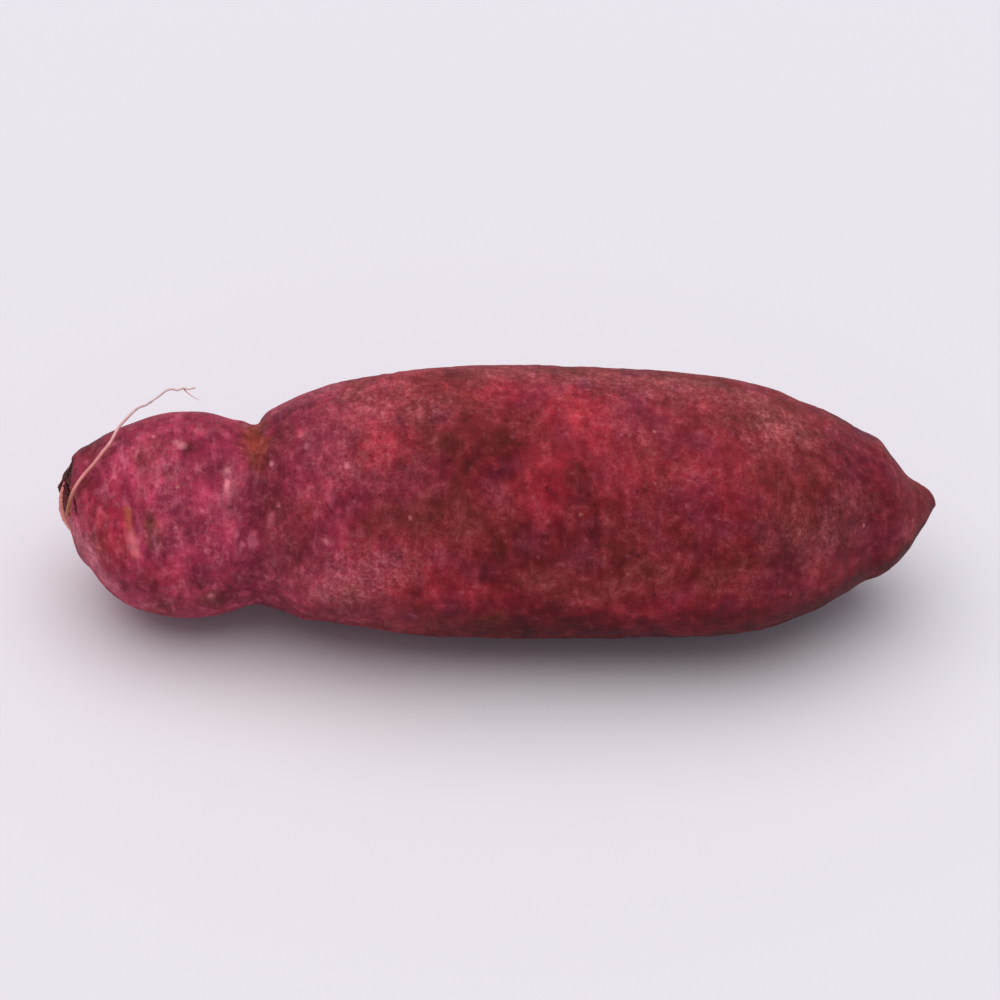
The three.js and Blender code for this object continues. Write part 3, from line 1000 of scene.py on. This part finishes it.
    rough = m.math("ADD", m.range(mottle, 0.3, 0.7, 0.60, 0.74, False), m.math("MULTIPLY", m.mask("dust_and_sheen"), 0.08))
    rough = m.math("SUBTRACT", rough, m.math("MULTIPLY", m.mask("red"), 0.06))
    m.link(rough, m.bsdf.inputs["Roughness"])
    m.bsdf.inputs["Specular IOR Level"].default_value = 0.12
    m.bsdf.inputs["Sheen Weight"].default_value = 0.04
    m.bsdf.inputs["Sheen Roughness"].default_value = 0.5
    m.bsdf.inputs["Sheen Tint"].default_value = (1.0, 0.80, 0.80, 1.0)

    height = m.math("MULTIPLY", mottle, 0.60)
    height = m.math("ADD", height, m.math("MULTIPLY", grain, 0.34))
    height = m.math("ADD", height, m.math("MULTIPLY", fine, 0.14))
    height = m.math("ADD", height, m.math("MULTIPLY", rings, 0.40))
    height = m.math("ADD", height, m.math("MULTIPLY", arcs, 0.20))
    height = m.math("SUBTRACT", height, m.math("MULTIPLY", pit, 0.16))
    height = m.math("ADD", height, m.math("MULTIPLY", pale_spot, 0.12))
    m.link(m.bump(height, 0.00028), m.bsdf.inputs["Normal"])
    return m.mat


def root_material(name, near, far, dark_c, foot_c=None):
    m = Nodes(name)
    n = m.noise(1.6, 4, 0.65, w=3.0)
    fine = m.noise(7.0, 3, 0.6, w=7.0)
    c = m.mix(m.range(m.mask("along"), 0.35, 0.80), near, far)
    c = m.mix(m.range(n, 0.48, 0.70, 0.0, 0.5), c, dark_c)
    if foot_c is not None:
        c = m.mix(m.range(m.mask("along"), 0.24, 0.12), c, foot_c)
    c = m.times(c, m.range(fine, 0.25, 0.75, 0.82, 1.12, False))
    m.link(c, m.bsdf.inputs["Base Color"])
    m.link(m.range(fine, 0.3, 0.7, 0.55, 0.75, False), m.bsdf.inputs["Roughness"])
    m.bsdf.inputs["Specular IOR Level"].default_value = 0.35
    m.bsdf.inputs["Sheen Weight"].default_value = 0.15
    m.link(m.bump(m.math("ADD", fine, n), 0.00006), m.bsdf.inputs["Normal"])
    return m.mat


skin_ob.data.materials.append(skin_material())
rootlet_ob.data.materials.append(
    root_material("dry_rootlet", srgb(236, 148, 142), srgb(240, 216, 212), srgb(184, 112, 104), srgb(176, 106, 62))
)
torn_ob.data.materials.append(
    root_material("torn_skin", srgb(232, 140, 130), srgb(236, 160, 148), srgb(188, 92, 84))
)
fibres_ob.data.materials.append(
    root_material("torn_fibre", srgb(92, 40, 32), srgb(142, 84, 66), srgb(60, 20, 20))
)

for ob, slot in ((skin_ob, "skin"), (rootlet_ob, "dry_root"), (fibres_ob, "dry_root"), (torn_ob, "dry_root")):
    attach(ob, "root")
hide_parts("tuber")
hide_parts("rootlet")

# ---------------------------------------------------------------------------
# floor, light and camera
# ---------------------------------------------------------------------------


def floor_material():
    m = Nodes("floor")
    m.bsdf.inputs["Base Color"].default_value = srgb(232, 228, 234)
    m.bsdf.inputs["Roughness"].default_value = 0.85
    m.bsdf.inputs["Specular IOR Level"].default_value = 0.15
    return m.mat


KEY, AMBIENT = 2.1, 0.40
BACKDROP = (0.815, 0.772, 0.841, 1)
side = 40.0
floor_me = bpy.data.meshes.new("floor")
floor_me.from_pydata(
    [(-side, -side, 0), (side, -side, 0), (side, side, 0), (-side, side, 0)], [], [(0, 1, 2, 3)]
)
floor_me.materials.append(floor_material())
floor = bpy.data.objects.new("floor", floor_me)
bpy.context.scene.collection.objects.link(floor)

scene = bpy.context.scene
world = bpy.data.worlds.new("soft_studio")
world.use_nodes = True
wt = world.node_tree
wt.nodes.clear()
w_out = wt.nodes.new("ShaderNodeOutputWorld")
w_light = wt.nodes.new("ShaderNodeBackground")
w_light.inputs["Color"].default_value = (0.92, 0.89, 1.0, 1)
w_light.inputs["Strength"].default_value = AMBIENT
w_seen = wt.nodes.new("ShaderNodeBackground")
w_seen.inputs["Color"].default_value = BACKDROP
w_seen.inputs["Strength"].default_value = 1.0
w_path = wt.nodes.new("ShaderNodeLightPath")
w_mix = wt.nodes.new("ShaderNodeMixShader")
wt.links.new(w_path.outputs["Is Camera Ray"], w_mix.inputs[0])
wt.links.new(w_light.outputs[0], w_mix.inputs[1])
wt.links.new(w_seen.outputs[0], w_mix.inputs[2])
wt.links.new(w_mix.outputs[0], w_out.inputs["Surface"])
scene.world = world


def sun(name, direction, angle, strength, colour):
    """A broad soft source that shines from the given direction."""
    lamp = bpy.data.lights.new(name, "SUN")
    lamp.angle = math.radians(angle)
    lamp.energy = strength
    lamp.color = colour
    ob = bpy.data.objects.new(name, lamp)
    scene.collection.objects.link(ob)
    ob.rotation_mode = "QUATERNION"
    ob.rotation_quaternion = Vector(direction).to_track_quat("Z", "Y")
    return ob


sun("softbox", (-0.08, 0.05, 1.0), 78, KEY, (1.0, 0.99, 0.97))

# the camera: above and a little to the left of the root's near side, far enough
# away for a gentle perspective, with a long lens so that the root fills the frame
AZIMUTH, ELEVATION, DISTANCE, ROLL = math.radians(-3.4), math.radians(42.0), 0.720, math.radians(2.2)
back = np.array([
    math.sin(AZIMUTH) * math.cos(ELEVATION),
    -math.cos(AZIMUTH) * math.cos(ELEVATION),
    math.sin(ELEVATION),
])
right = np.array([math.cos(AZIMUTH), math.sin(AZIMUTH), 0.0])
up = np.cross(back, right)
right_r = right * math.cos(ROLL) + up * math.sin(ROLL)
up_r = -right * math.sin(ROLL) + up * math.cos(ROLL)
target = (np.array([0.0, 0.0, 16.8]) + ORIGIN) * MM
place = target + back * DISTANCE

cam_data = bpy.data.cameras.new("camera")
cam = bpy.data.objects.new("camera", cam_data)
scene.collection.objects.link(cam)
cam.matrix_world = Matrix([
    [right_r[0], up_r[0], back[0], place[0]],
    [right_r[1], up_r[1], back[1], place[1]],
    [right_r[2], up_r[2], back[2], place[2]],
    [0, 0, 0, 1],
])
cam_data.sensor_width = 36.0
cam_data.lens = 36.0 * 3056.0 / 1000.0 * 1.837
cam_data.clip_start, cam_data.clip_end = 0.01, 200.0
scene.camera = cam

scene.view_settings.view_transform = "Standard"
scene.view_settings.look = "None"
scene.view_settings.exposure = 0.0
scene.view_settings.gamma = 1.0
